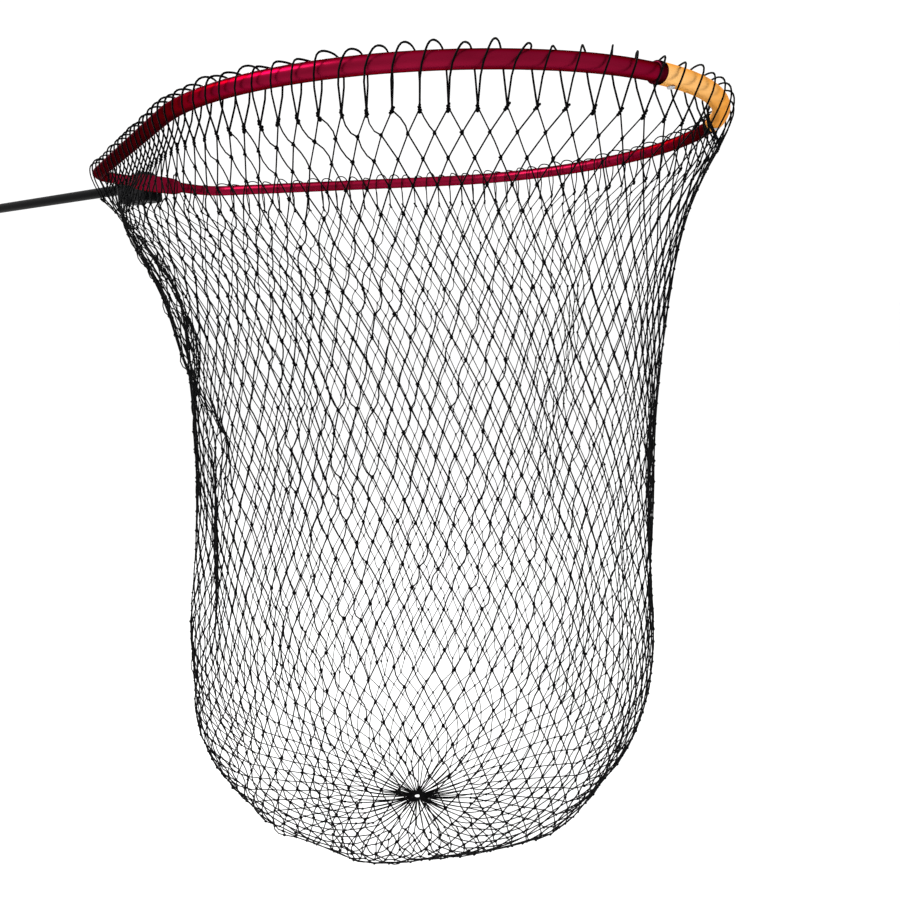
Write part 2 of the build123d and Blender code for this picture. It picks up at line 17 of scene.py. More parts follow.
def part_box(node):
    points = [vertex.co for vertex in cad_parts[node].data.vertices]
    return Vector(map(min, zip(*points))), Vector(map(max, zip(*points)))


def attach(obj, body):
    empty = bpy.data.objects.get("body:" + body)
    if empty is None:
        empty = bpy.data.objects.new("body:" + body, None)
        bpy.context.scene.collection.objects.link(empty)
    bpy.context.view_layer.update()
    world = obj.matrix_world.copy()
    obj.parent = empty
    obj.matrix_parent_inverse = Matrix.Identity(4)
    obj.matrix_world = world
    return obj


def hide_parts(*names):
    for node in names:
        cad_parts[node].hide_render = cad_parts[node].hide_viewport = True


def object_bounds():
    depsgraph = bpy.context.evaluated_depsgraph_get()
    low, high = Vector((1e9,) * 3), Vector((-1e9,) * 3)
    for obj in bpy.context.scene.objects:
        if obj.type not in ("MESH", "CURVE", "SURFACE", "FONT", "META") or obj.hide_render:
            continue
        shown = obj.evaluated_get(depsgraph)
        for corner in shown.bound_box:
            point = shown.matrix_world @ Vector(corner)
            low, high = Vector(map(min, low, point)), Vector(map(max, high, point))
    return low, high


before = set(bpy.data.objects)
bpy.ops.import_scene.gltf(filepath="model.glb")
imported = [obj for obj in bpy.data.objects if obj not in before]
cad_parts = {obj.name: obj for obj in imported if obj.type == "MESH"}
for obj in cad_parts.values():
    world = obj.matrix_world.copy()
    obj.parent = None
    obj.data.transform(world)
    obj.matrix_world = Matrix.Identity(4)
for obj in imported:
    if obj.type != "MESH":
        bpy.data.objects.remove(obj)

log = logging.getLogger("landing_net")
MM = 0.001
PATCH_EDGES = (0.32, 0.68)      # where a finish's noise turns from its dark to its light colour
HOOP_BODY = "hoop"
CAD_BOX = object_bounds()


# ---------------------------------------------------------------- colours and shader nodes
def srgb(code: str) -> tuple[float, float, float, float]:
    """Turn an sRGB hex colour into a linear one.

    Args:
        code: Six hex digits, with or without a leading hash.

    Returns:
        Linear red, green, blue and an alpha of 1.
    """
    digits = code.lstrip("#")
    parts = [int(digits[start:start + 2], 16) / 255 for start in (0, 2, 4)]
    linear = [p / 12.92 if p <= 0.04045 else ((p + 0.055) / 1.055) ** 2.4 for p in parts]
    return (*linear, 1.0)


def add_node(
    tree: bpy.types.NodeTree, kind: str, inputs: dict | None = None, **settings: object
) -> bpy.types.Node:
    """Add one shader node with its settings and links.

    Args:
        tree: The node tree it goes into.
        kind: The node's Blender type.
        inputs: Values or output sockets, by the name of the input that they go to.
        **settings: The node's own properties.

    Returns:
        The new node.
    """
    node = tree.nodes.new(kind)
    for name, value in settings.items():
        setattr(node, name, value)
    for name, value in (inputs or {}).items():
        if isinstance(value, bpy.types.NodeSocket):
            tree.links.new(value, node.inputs[name])
        else:
            node.inputs[name].default_value = value
    return node


class Surface(Enum):
    """How a surface was made, which sets the pattern of its relief."""

    GRAIN = "grain"        # sandblasted, moulded or anodised: fine even grain
    CELLS = "cells"        # closed-cell foam: small round pits
    LAY = "lay"            # laid twine: slanted strands


@dataclass(frozen=True)
class Finish:
    """A real material and its surface, as one procedural shader.

    Attributes:
        name: The material's common name and how its surface was made.
        light: Its lighter colour, sRGB hex.
        dark: Its darker colour, sRGB hex.
        patch_mm: Size of the slow colour variation along X, Y and Z.
        grain_mm: Size of the relief along X, Y and Z.
        relief_mm: Depth of the relief.
        rough: Roughness where it is smoothest and where it is dullest.
        metallic: 1 for bare or dyed metal.
        sheen: Weight of the soft edge light of fibres and foam.
        gloss: Strength of the mirror reflection, where 0.5 is a plain dielectric.
        edge: Colour of the reflection at a grazing angle, sRGB hex.
        ior: Index of refraction.
        surface: The pattern of its relief.
    """

    name: str
    light: str
    dark: str
    patch_mm: tuple[float, float, float]
    grain_mm: tuple[float, float, float]
    relief_mm: float
    rough: tuple[float, float]
    metallic: float = 0.0
    sheen: float = 0.0
    gloss: float = 0.5
    edge: str = "FFFFFF"
    ior: float = 1.5
    surface: Surface = Surface.GRAIN

    def scaled(
        self, tree: bpy.types.NodeTree, size_mm: tuple[float, float, float]
    ) -> bpy.types.NodeSocket:
        """Object coordinates counted in steps of a real size.

        Args:
            tree: The material's node tree.
            size_mm: The step along X, Y and Z.

        Returns:
            The vector's output socket.
        """
        place = add_node(tree, "ShaderNodeTexCoord")
        steps = tuple(1000.0 / size for size in size_mm)
        mapping = add_node(
            tree, "ShaderNodeMapping", {"Vector": place.outputs["Object"], "Scale": steps}
        )
        return mapping.outputs["Vector"]

    def relief(self, tree: bpy.types.NodeTree) -> bpy.types.NodeSocket:
        """Height of the surface's pattern, from 0 to 1.

        Args:
            tree: The material's node tree.

        Returns:
            The height's output socket.
        """
        steps = self.scaled(tree, self.grain_mm)
        if self.surface is Surface.CELLS:
            cells = add_node(tree, "ShaderNodeTexVoronoi", {"Vector": steps, "Scale": 1.0})
            return cells.outputs["Distance"]
        if self.surface is Surface.LAY:
            lay = add_node(
                tree, "ShaderNodeTexWave", {"Vector": steps, "Scale": 1.0, "Distortion": 1.5},
                wave_type="BANDS", bands_direction="DIAGONAL",
            )
            return lay.outputs["Fac"]
        grain = add_node(
            tree, "ShaderNodeTexNoise",
            {"Vector": steps, "Scale": 1.0, "Detail": 3.0, "Roughness": 0.6},
        )
        return grain.outputs["Fac"]

    def build(self) -> bpy.types.Material:
        """Make the shader.

        Returns:
            The new material.
        """
        material = bpy.data.materials.new(self.name)
        material.use_nodes = True
        tree = material.node_tree
        shader = tree.nodes["Principled BSDF"]
        shader.inputs["Metallic"].default_value = self.metallic
        shader.inputs["IOR"].default_value = self.ior
        shader.inputs["Sheen Weight"].default_value = self.sheen
        shader.inputs["Specular IOR Level"].default_value = self.gloss
        shader.inputs["Specular Tint"].default_value = srgb(self.edge)
        patches = add_node(
            tree, "ShaderNodeTexNoise",
            {
                "Vector": self.scaled(tree, self.patch_mm), "Scale": 1.0,
                "Detail": 4.0, "Roughness": 0.55,
            },
        )
        colour = add_node(tree, "ShaderNodeValToRGB", {"Fac": patches.outputs["Fac"]})
        low, high = colour.color_ramp.elements
        low.position, high.position = PATCH_EDGES
        low.color, high.color = srgb(self.dark), srgb(self.light)
        height = self.relief(tree)
        dull = add_node(
            tree, "ShaderNodeMapRange",
            {"Value": height, "To Min": self.rough[0], "To Max": self.rough[1]},
        )
        bump = add_node(
            tree, "ShaderNodeBump",
            {"Height": height, "Strength": 1.0, "Distance": self.relief_mm * MM},
        )
        tree.links.new(colour.outputs["Color"], shader.inputs["Base Color"])
        tree.links.new(dull.outputs["Result"], shader.inputs["Roughness"])
        tree.links.new(bump.outputs["Normal"], shader.inputs["Normal"])
        return material


# Dyed anodised aluminium, drawn and satin brushed: crimson where it is seen face on and deep
# wine at its edges. The draw lines follow the tube, which lies flat, so they are thin in Z.
WINE_TUBE = Finish(
    "wine_anodised_aluminium", "84102E", "6C0B23", (160, 160, 60), (22, 22, 0.5), 0.010,
    (0.30, 0.40), metallic=1.0, edge="4A0A1C",
)
# The same metal dyed light gold: a pale peach that turns amber at its edges.
GOLD_TUBE = Finish(
    "gold_anodised_aluminium", "FFCB86", "FBBC6E", (120, 120, 60), (22, 22, 0.5), 0.010,
    (0.32, 0.42), metallic=1.0, edge="E8A860",
)
# Hard-anodised aluminium tube, drawn along X: black with a faint long highlight.
BLACK_TUBE = Finish(
    "black_anodised_aluminium", "08080A", "040405", (120, 12, 12), (30, 0.5, 0.5), 0.012,
    (0.30, 0.42), metallic=0.4, gloss=0.10, edge="202022",
)
# Glass-filled nylon from a spark-eroded mould: black with a matt, faintly pebbled skin. The
# grain is drawn at 0.7 mm, coarser than the real 0.2 mm, so that it shows.
MOULDED_NYLON = Finish(
    "moulded_glass_filled_nylon", "0C0C0E", "070708", (14, 14, 14), (0.7, 0.7, 0.7), 0.05,
    (0.48, 0.62), gloss=0.15, edge="303033", ior=1.53,
)
# Turned acetal: smooth and waxy.
ACETAL = Finish(
    "turned_acetal", "2A2A2C", "202022", (20, 20, 20), (4, 0.6, 0.6), 0.01, (0.32, 0.42), ior=1.48,
)
# Closed-cell foam, ground to shape: small open pits and a trace of dusty edge light.
FOAM = Finish(
    "ground_closed_cell_foam", "242427", "18181A", (12, 12, 12), (0.9, 0.9, 0.9), 0.10,
    (0.82, 0.95), sheen=0.05, gloss=0.2, ior=1.45, surface=Surface.CELLS,
)
# Moulded rubber: dull black with the slightest bloom.
RUBBER = Finish(
    "moulded_rubber", "202022", "151517", (16, 16, 16), (1.2, 1.2, 1.2), 0.04,
    (0.62, 0.78), sheen=0.05, gloss=0.25, ior=1.52,
)
# Knotted nylon twine, tarred black: nearly no highlight, with the lay of its strands. The lay
# is drawn at 1.6 mm, about twice the real one, so that it shows on a thread this thin.
TWINE = Finish(
    "black_nylon_twine", "0B0B0C", "040405", (35, 35, 35), (1.6, 1.6, 1.6), 0.10,
    (0.60, 0.80), gloss=0.06, edge="181819", ior=1.53, surface=Surface.LAY,
)
# Cold-headed stainless steel: bright, with fine tumbling marks.
STEEL = Finish(
    "tumbled_stainless_steel", "C9CACC", "A9ABAE", (5, 5, 5), (0.8, 0.8, 0.8), 0.01,
    (0.22, 0.34), metallic=1.0,
)
# Turned brass: warm yellow with lathe lines across Z.
BRASS = Finish(
    "turned_brass", "D8B46A", "B9924A", (6, 6, 6), (3, 3, 0.4), 0.02, (0.24, 0.34), metallic=1.0,
)
# Aluminium collar under dyed lacquer: black cherry, with a tight highlight.
LACQUER = Finish(
    "lacquered_collar", "4A0A1A", "2E0812", (8, 8, 8), (2, 2, 0.6), 0.01,
    (0.28, 0.38), metallic=1.0, edge="200610",
)

NODE_FINISHES: dict[str, Finish] = {
    "hoop_tube": WINE_TUBE, "transom_rivets": WINE_TUBE, "tip_bow": GOLD_TUBE,
    "tip_ferrule_far": LACQUER, "tip_ferrule_near": LACQUER,
    "inner_tube": BLACK_TUBE, "outer_tube": BLACK_TUBE,
    "yoke_lower": MOULDED_NYLON, "yoke_upper": MOULDED_NYLON,
    "lock_sleeve": MOULDED_NYLON, "lock_ring": MOULDED_NYLON,
    "transom_insert": ACETAL, "guide_bush": ACETAL, "slide_ring": ACETAL, "collet": ACETAL,
    "grip": FOAM, "butt_cap": RUBBER, "wiper_ring": RUBBER,
    "yoke_screws": STEEL, "rivet_washers": STEEL, "tip_rivets": STEEL,
    "snap_button": STEEL, "snap_spring": STEEL, "yoke_inserts": BRASS,
}


# ---------------------------------------------------------------- shapes shared by the pieces
def finish_piece(
    mesh: bpy.types.Mesh, name: str, material: bpy.types.Material
) -> bpy.types.Object:
    """Put a mesh on show as a piece that rides on the hoop's body.

    Args:
        mesh: The piece's mesh, in the frame's metres.
        name: The piece's name.
        material: What it is made of.

    Returns:
        The new object.
    """
    mesh.name = name
    mesh.materials.clear()
    mesh.materials.append(material)
    mesh.polygons.foreach_set("use_smooth", [True] * len(mesh.polygons))
    piece = bpy.data.objects.new(name, mesh)
    bpy.context.scene.collection.objects.link(piece)
    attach(piece, HOOP_BODY)
    log.info("%s: %d faces", name, len(mesh.polygons))
    return piece


def thread_mesh(paths: list[np.ndarray], radius: float, sides: int, smooth: bool) -> bpy.types.Mesh:
    """Lay round thread along paths, with closed ends.

    Args:
        paths: One array of points for each thread.
        radius: The thread's radius.
        sides: 4, or 6 for a rounder thread.
        smooth: Whether the thread flows in a curve between its points.

    Returns:
        All the threads as one mesh.
    """
    curve = bpy.data.curves.new("thread", "CURVE")
    curve.dimensions = "3D"
    curve.bevel_depth = radius
    curve.bevel_resolution = (sides - 4) // 2
    curve.use_fill_caps = True
    for path in paths:
        spline = curve.splines.new("NURBS" if smooth else "POLY")
        spline.points.add(len(path) - 1)
        spline.points.foreach_set("co", np.c_[path, np.ones(len(path))].ravel())
        if smooth:
            spline.order_u = 4
            spline.use_endpoint_u = True
            spline.resolution_u = 2
    holder = bpy.data.objects.new("thread", curve)
    mesh = bpy.data.meshes.new_from_object(holder)
    bpy.data.objects.remove(holder)
    bpy.data.curves.remove(curve)
    return mesh


def bead(bm: bmesh.types.BMesh, centre: Vector, radii: Vector, sides: int = 6) -> None:
    """Add a small closed bead of twine to a knot.

    Args:
        bm: The knot.
        centre: The bead's middle.
        radii: Its half sizes.
        sides: How many faces go round it.
    """
    place = Matrix.Translation(centre) @ Matrix.Diagonal((*radii, 1.0))
    bmesh.ops.create_uvsphere(bm, u_segments=sides, v_segments=4, radius=1.0, matrix=place)


def baked(bm: bmesh.types.BMesh, name: str) -> bpy.types.Mesh:
    """Write built geometry into a mesh, and free it.

    Args:
        bm: The geometry.
        name: The mesh's name.

    Returns:
        The new mesh.
    """
    mesh = bpy.data.meshes.new(name)
    bm.to_mesh(mesh)
    bm.free()
    return mesh


def scatter(template: bpy.types.Mesh, places: list[Matrix]) -> bpy.types.Mesh:
    """Copy one small shape to many places.

    Args:
        template: The shape, about its own origin.
        places: Where each copy goes, and how it is turned and sized.

    Returns:
        All the copies as one mesh.
    """
    bm = bmesh.new()
    for place in places:
        copy = template.copy()
        copy.transform(place)
        bm.from_mesh(copy)
        bpy.data.meshes.remove(copy)
    return baked(bm, "copies")


def through(points: np.ndarray, steps: int) -> np.ndarray:
    """Smooth path through rows of points.

    Args:
        points: Control rows, one after another along the first axis.
        steps: How many new rows each gap gets.

    Returns:
        The denser rows.
    """
    first = 2 * points[:1] - points[1:2]
    last = 2 * points[-1:] - points[-2:-1]
    padded = np.concatenate([first, points, last])
    share = (np.arange(steps) / steps).reshape(-1, 1, 1)
    rows = []
    for index in range(len(points) - 1):
        before, start, end, after = padded[index:index + 4]
        bend = 2 * before - 5 * start + 4 * end - after
        twist = 3 * (start - end) - before + after
        rows.append(0.5 * (2 * start + (end - before) * share + bend * share**2 + twist * share**3))
    rows.append(points[-1:])
    return np.concatenate(rows)


# ---------------------------------------------------------------- hoop
@dataclass
class HoopCurve:
    """Centre line of the hoop: transom, shoulder, straight side, haunch and tip, both sides.

    Attributes:
        transom_straight: Straight part of the transom.
        shoulder_radius: Bend at each end of the transom.
        haunch_radius: Long bend at the widest place.
        haunch_turn: Angle off the side view where the haunch meets the tip's bend.
        tube_radius: Radius of the red tube.
        press_height: Half height of the transom's pressed middle.
        press_half_length: Half length of the pressed middle.
        transom_x: Place of the transom's centre line.
        length: From the transom's centre line to the tip's.
        half_width: Half the hoop's width between centre lines.
        bow_start_x: Where the gold bow begins.
        bow_radius: Radius of the gold bow's tube.
        runs: Length and radius of each run of one side, where a radius of 0 is straight.
        half_length: Length of one side, from the transom's middle to the tip.
    """

    transom_straight: float = 0.156
    shoulder_radius: float = 0.050
    haunch_radius: float = 0.370
    haunch_turn: float = math.radians(45.0)
    tube_radius: float = 0.008
    press_height: float = 0.013
    press_half_length: float = 0.038
    transom_x: float = field(init=False)
    length: float = field(init=False)
    half_width: float = field(init=False)
    bow_start_x: float = field(init=False)
    bow_radius: float = field(init=False)
    runs: list[tuple[float, float]] = field(init=False)
    half_length: float = field(init=False)

    def __post_init__(self) -> None:
        """Read the hoop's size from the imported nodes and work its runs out."""
        low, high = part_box("transom_insert")
        self.transom_x = (low.x + high.x) / 2
        bow_low, bow_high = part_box("tip_bow")
        self.bow_start_x = bow_low.x
        self.bow_radius = bow_high.z
        self.length = bow_high.x - self.bow_radius - self.transom_x
        self.half_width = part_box("hoop_tube")[1].y - self.tube_radius
        offset = (self.haunch_radius - self.half_width) / math.cos(self.haunch_turn)
        tip_radius = self.haunch_radius - offset
        haunch_x = self.length - tip_radius - offset * math.sin(self.haunch_turn)
        gap = Vector((
            haunch_x - self.shoulder_radius,
            self.half_width - self.haunch_radius - self.transom_straight / 2,
        ))
        lean = (self.haunch_radius - self.shoulder_radius) / gap.length
        side_angle = math.atan2(gap.y, gap.x) + math.asin(lean)
        self.runs = [
            (self.transom_straight / 2, 0.0),
            (self.shoulder_radius * (math.pi / 2 - side_angle), self.shoulder_radius),
            (gap.length * math.cos(math.asin(lean)), 0.0),
            (self.haunch_radius * (side_angle + self.haunch_turn), self.haunch_radius),
            (tip_radius * (math.pi / 2 - self.haunch_turn), tip_radius),
        ]
        self.half_length = sum(length for length, _ in self.runs)

    def at(self, share: float) -> tuple[Vector, Vector]:
        """Point of the centre line and the direction out of the hoop there.

        Args:
            share: From 0 at the transom's middle, by the far side and the tip, round to 1.

        Returns:
            The point and the outward direction.
        """
        along = (share % 1.0) * 2 * self.half_length
        mirrored = along > self.half_length
        left = 2 * self.half_length - along if mirrored else along
        point, heading = Vector((self.transom_x, 0.0, 0.0)), math.pi / 2
        for length, radius in self.runs:
            step = min(left, length)
            if radius:
                turn = step / radius
                centre = point + radius * Vector((math.sin(heading), -math.cos(heading), 0.0))
                heading -= turn
                point = centre + radius * Vector((-math.sin(heading), math.cos(heading), 0.0))
            else:
                point = point + step * Vector((math.cos(heading), math.sin(heading), 0.0))
            left -= step
            if left <= 0:
                break
        out = Vector((-math.sin(heading), math.cos(heading), 0.0))
        flip = Vector((1.0, -1.0, 1.0)) if mirrored else Vector((1.0, 1.0, 1.0))
        return point * flip, out * flip

    def section(self, point: Vector) -> tuple[float, float]:
        """Half width and half height of the tube at a point of the centre line.

        Args:
            point: The point of the centre line.

        Returns:
            Half the tube's size across the hoop's plane and square to it.
        """
        on_transom = point.x < self.transom_x + self.shoulder_radius
        if on_transom and abs(point.y) < self.press_half_length:
            return self.tube_radius, self.press_height
        radius = self.bow_radius if point.x > self.bow_start_x else self.tube_radius
        return radius, radius


# ---------------------------------------------------------------- net
@dataclass(frozen=True)
class Level:
    """A level section of the hanging bag.

    Attributes:
        share: Its depth as a share of the bag's.
        long: Half its size along X.
        wide: Half its size along Y.
        shift: How far it is ahead of the bag's middle.
        plumb: Share by which the meshes hang straight under their laces, and not evenly spread.
    """

    share: float
    long: float
    wide: float
    shift: float
    plumb: float


@dataclass(frozen=True)
class Fold:
    """A soft valley or ridge that runs down the bag's wall.

    Attributes:
        start: Angle round the bag, in degrees, and height where it begins.
        end: The same where it ends.
        depth: How far the wall goes in, or out if it is negative.
        spread: Half its width, in degrees.
        gather: Share by which the meshes beside it are drawn towards it.
    """

    start: tuple[float, float]
    end: tuple[float, float]
    depth: float
    spread: float
    gather: float = 0.0


@dataclass
class NetBag:
    """The knotted bag: lacing round the hoop, heavy top knots, meshes and gathered foot.

    Attributes:
        hoop: The hoop that it is laced to.
        columns: How many meshes go round.
        bar: Length of one bar of a mesh.
        twine: Radius of the mesh's twine.
        lace_twine: Radius of the lacing's twine.
        knot_drop: Heavy knots below the hoop's centre line.
        strand: Length of the last strands to the gather ring.
        lace_spread: How much wider than the average the laces stand at the transom and the tip.
        joined_share: Share of the rows after which two meshes are joined into one.
        middle_x: The bag's middle ahead of the transom.
        foot_radius: The bag's flat foot round the gather ring.
        foot_clear: The foot above the bag's lowest point.
        foot_height: Height under which the meshes spread evenly round the ring.
        wall_steps: How many points the wall has between two levels.
        swells: Slow unevenness of the wall: depth, waves round, waves down and phase.
        stray: The same for the meshes' drift round the bag, without a phase.
        fold_fade: Height over which a fold fades past its ends.
        wall_radius: The wall's usual distance from the bag's middle.
        loose: How far knots stray from their places: the heavy ones and the rest.
        tighten_rounds: How often the bars are drawn to their length.
        most_bow: The furthest that a slack bar bows.
        yoke_gap: Clearance of the laces beside the yoke.
        under_transom: Laces below the pressed transom, where the yoke stops them going over it.
        strand_sag: The most that a last strand sags.
        strand_sway: How far it sways aside.
        ring_wire: Thickness that a strand's loop takes round the gather ring.
        bands: Names of the pieces that the wall is cut into, from the top.
        slot: The record's material slot; not used.
        levels: Level sections of the wall, from the top.
        folds: Folds of the wall.
        knots: Places of the knots, row by row.
        joined_row: The row after which two meshes are joined into one.
        ring_centre: The gather ring's middle.
        ring_radius: Its outer radius.
        yoke_half_width: Half width of the transom that the yoke takes up.
    """

    hoop: HoopCurve
    columns: int = 98
    bar: float = 0.0256
    row_pitch: float = 0.0238
    twine: float = 0.00074
    lace_twine: float = 0.00095
    knot_drop: float = 0.037
    strand: float = 0.078
    lace_spread: float = 0.20
    joined_share: float = 0.80
    middle_x: float = 0.500
    foot_radius: float = 0.042
    foot_clear: float = 0.001
    foot_height: float = -0.91
    wall_steps: int = 16
    swells: tuple[tuple[float, float, float, float], ...] = (
        (0.0045, 7, 9, 0.0), (0.0035, 13, -14, 1.3), (0.0050, 3, 6, 0.6),
    )
    stray: tuple[float, float, float] = (0.004, 5, 11)
    fold_fade: float = 0.03
    wall_radius: float = 0.30
    loose: tuple[float, float] = (0.0002, 0.0011)
    tighten_rounds: int = 20
    most_bow: float = 0.0042
    yoke_gap: float = 0.006
    under_transom: float = 0.004
    strand_sag: float = 0.004
    strand_sway: float = 0.0016
    ring_wire: float = 0.0042
    bands: tuple[str, ...] = ("upper", "middle", "lower", "bottom")
    slot: str = "net_twine"
    levels: tuple[Level, ...] = (
        Level(0.09, 0.396, 0.298, -0.046, 0.95),
        Level(0.21, 0.340, 0.290, -0.014, 0.85),
        Level(0.42, 0.326, 0.290, -0.004, 0.65),
        Level(0.58, 0.326, 0.293, -0.006, 0.45),
        Level(0.72, 0.334, 0.296, -0.018, 0.30),
        Level(0.84, 0.315, 0.280, -0.036, 0.15),
        Level(0.92, 0.250, 0.226, -0.044, 0.06),
        Level(0.975, 0.166, 0.150, -0.046, 0.0),
    )
    folds: tuple[Fold, ...] = (
        Fold((203, -0.14), (216, -0.27), 0.014, 9.0, 0.16),
        Fold((214, -0.25), (250, -0.35), 0.020, 6.0, 0.26),
        Fold((212, -0.62), (212, -0.76), -0.010, 24.0),
        Fold((240, -0.40), (232, -0.50), 0.012, 5.0, 0.30),
        Fold((226, -0.50), (236, -0.64), 0.012, 5.0, 0.28),
        Fold((290, -0.90), (322, -0.90), 0.012, 9.0),
        Fold((330, -0.25), (345, -0.55), 0.010, 9.0, 0.15),
        Fold((265, -0.55), (275, -0.85), 0.008, 7.0, 0.15),
        Fold((60, -0.20), (75, -0.60), 0.012, 8.0, 0.20),
        Fold((130, -0.30), (120, -0.75), 0.012, 8.0, 0.20),
    )
    knots: list[np.ndarray] = field(init=False)
    joined_row: int = field(init=False)
    ring_centre: Vector = field(init=False)
    ring_radius: float = field(init=False)
    yoke_half_width: float = field(init=False)

    def __post_init__(self) -> None:
        """Hang the net: work out where each knot lies."""
        low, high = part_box("gather_ring")
        self.ring_centre = (low + high) / 2
        self.ring_radius = (high.x - low.x) / 2
        self.yoke_half_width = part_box("yoke_lower")[1].y + self.yoke_gap
        self.knots = self.hang()

    def lace_share(self, column: float) -> float:
        """Where a column's lace is on the hoop: closest together along the two sides.

        Args:
            column: The column, where half a column is the place between two laces.

        Returns:
            The share of the hoop's centre line.
        """
        turns = column / self.columns
        return turns + self.lace_spread * math.sin(4 * math.pi * turns) / (4 * math.pi)

    def wall(self) -> tuple[np.ndarray, np.ndarray]:
        """The bag's wall as many points down each half column.

        Returns:
            Points by step down the wall and half column, and each half column's angle.
        """
        count = 2 * self.columns
        places = [self.hoop.at(self.lace_share(index / 2))[0] for index in range(count)]
        rim = np.array([tuple(place) for place in places])
        bag_x = self.hoop.transom_x + self.middle_x
        even = math.pi - 2 * math.pi * np.arange(count) / count
        top = self.levels[0]
        straight_down = np.arctan2(rim[:, 1] / top.wide, (rim[:, 0] - bag_x - top.shift) / top.long)
        drift = (straight_down - even + math.pi) % (2 * math.pi) - math.pi
        depth = -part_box("net_bag")[0].z
        rows = [rim - [0.0, 0.0, self.knot_drop]]
        for level in self.levels:
            turn = even + drift * level.plumb
            rows.append(np.stack([
                bag_x + level.shift + level.long * np.cos(turn),
                level.wide * np.sin(turn),
                np.full(count, -depth * level.share),
            ], axis=1))
        centre = np.array(self.ring_centre)
        foot = np.stack([np.cos(even), np.sin(even), np.zeros(count)], axis=1)
        floor = [centre[0], centre[1], self.foot_clear - depth]
        rows.append(floor + foot * self.foot_radius)
        rows.append(centre + foot * self.ring_radius)
        return through(np.stack(rows), self.wall_steps), even

    def shape(self, wall: np.ndarray, turn: np.ndarray) -> np.ndarray:
        """Give the hanging wall its folds and its slow unevenness.

        Args:
            wall: Points down each half column.
            turn: Each half column's angle.

        Returns:
            The moved points.
        """
        height = wall[:, :, 2]
        bag_x = self.hoop.transom_x + self.middle_x
        round_it = np.arctan2(wall[:, :, 1], wall[:, :, 0] - bag_x)
        turn = np.where(height > self.foot_height, round_it, turn[None, :])
        angle = np.degrees(turn) % 360
        level = np.zeros_like(turn)
        out = np.stack([np.cos(turn), np.sin(turn), level], axis=2)
        side = np.stack([-np.sin(turn), np.cos(turn), level], axis=2)
        # nothing moves at the rim or at the foot
        hang = np.clip(-(height + 0.05) / 0.15, 0, 1) * np.clip((height + 0.96) / 0.10, 0, 1)
        waves = hang * sum(
            swell * np.sin(np.radians(round_count * angle) + down_count * height + phase)
            for swell, round_count, down_count, phase in self.swells
        )
        drift, round_count, down_count = self.stray
        slide = drift * np.sin(np.radians(round_count * angle) + down_count * height) * hang
        for fold in self.folds:
            span = fold.end[1] - fold.start[1]
            share = np.clip((height - fold.start[1]) / span, 0, 1) if span else 0.5
            middle = fold.start[0] + (fold.end[0] - fold.start[0]) * share
            off = (angle - middle + 180) % 360 - 180
            lowest, highest = sorted((fold.start[1], fold.end[1]))
            beyond = np.maximum(0, np.maximum(lowest - height, height - highest)) / self.fold_fade
            weight = np.exp(-((off / fold.spread) ** 2) - beyond**2)
            waves = waves - fold.depth * weight
            wide = np.exp(-((off / (3 * fold.spread)) ** 2) - beyond**2)
            slide = slide - fold.gather * np.radians(off) * self.wall_radius * wide
        return wall + out * waves[:, :, None] + side * slide[:, :, None]

    def hang(self) -> list[np.ndarray]:
        """Place the knots at even steps down the wall.

        Returns:
            One array of knot places for each row, from the heavy knots down.
        """
        wall, turn = self.wall()
        wall = self.shape(wall, turn)
        steps = np.linalg.norm(np.diff(wall, axis=0), axis=2)
        down = np.concatenate([np.zeros((1, wall.shape[1])), np.cumsum(steps, axis=0)])
        rows = round((down[-1].mean() - self.strand) / self.row_pitch)
        self.joined_row = round(rows * self.joined_share)
        shares = np.linspace(0, 1, rows + 1)
        chance = np.random.default_rng(11)
        knots = []
        for row, share in enumerate(shares):
            reach = share * (down[-1] - self.strand)
            picked = np.stack([
                [np.interp(reach[col], down[:, col], wall[:, col, axis]) for axis in range(3)]
                for col in self.half_columns(row)
            ])
            knots.append(picked + chance.normal(0, self.loose[min(row, 1)], picked.shape))
        for _ in range(self.tighten_rounds):
            self.tighten(knots)
        return knots

    def half_columns(self, row: int) -> np.ndarray:
        """Which half columns the knots of a row hang in.

        Args:
            row: The row of knots.

        Returns:
            The half columns: every other one, or every fourth below the joined row.
        """
        count = 2 * self.columns
        if row <= self.joined_row:
            return np.arange(row % 2, count, 2)
        first = self.joined_row % 2 + 1 + 2 * ((row - self.joined_row - 1) % 2)
        return np.arange(first, first + count, 4) % count

    def partners(self, row: int) -> tuple[np.ndarray, ...]:
        """Which knots of the next row each knot of this one is tied to.

        Args:
            row: The row of knots.

        Returns:
            One array of knots for each bar that a knot has below it.
        """
        index = np.arange(len(self.half_columns(row)))
        if row == self.joined_row:
            return (index // 2,)
        since = row if row < self.joined_row else row - self.joined_row - 1
        return index, (index + (-1 if since % 2 == 0 else 1)) % len(index)

    def tighten(self, knots: list[np.ndarray]) -> None:
        """Draw together the knots whose bar would be longer than its twine.

        Args:
            knots: The rows of knots, which are moved in place.
        """
        for row in range(len(knots) - 1):
            for tied in self.partners(row):
                gap = knots[row + 1][tied] - knots[row]
                length = np.linalg.norm(gap, axis=1, keepdims=True)
                pull = gap * np.clip(1 - self.bar / length, 0, None) * 0.5
                if row:
                    knots[row] += pull
                np.subtract.at(knots[row + 1], tied, pull)

    def bars(self, rows: range) -> list[np.ndarray]:
        """Paths of the bars under some rows, bowed where the twine is slack.

        Args:
            rows: The rows whose lower bars are wanted.

        Returns:
            One path for each bar.
        """
        chance = np.random.default_rng(rows.start + 3)
        paths = []
        for row in rows:
            for tied in self.partners(row):
                start, end = self.knots[row], self.knots[row + 1][tied]
                chord = end - start
                length = np.linalg.norm(chord, axis=1, keepdims=True)
                slack = np.clip(self.bar - length, 0, None)
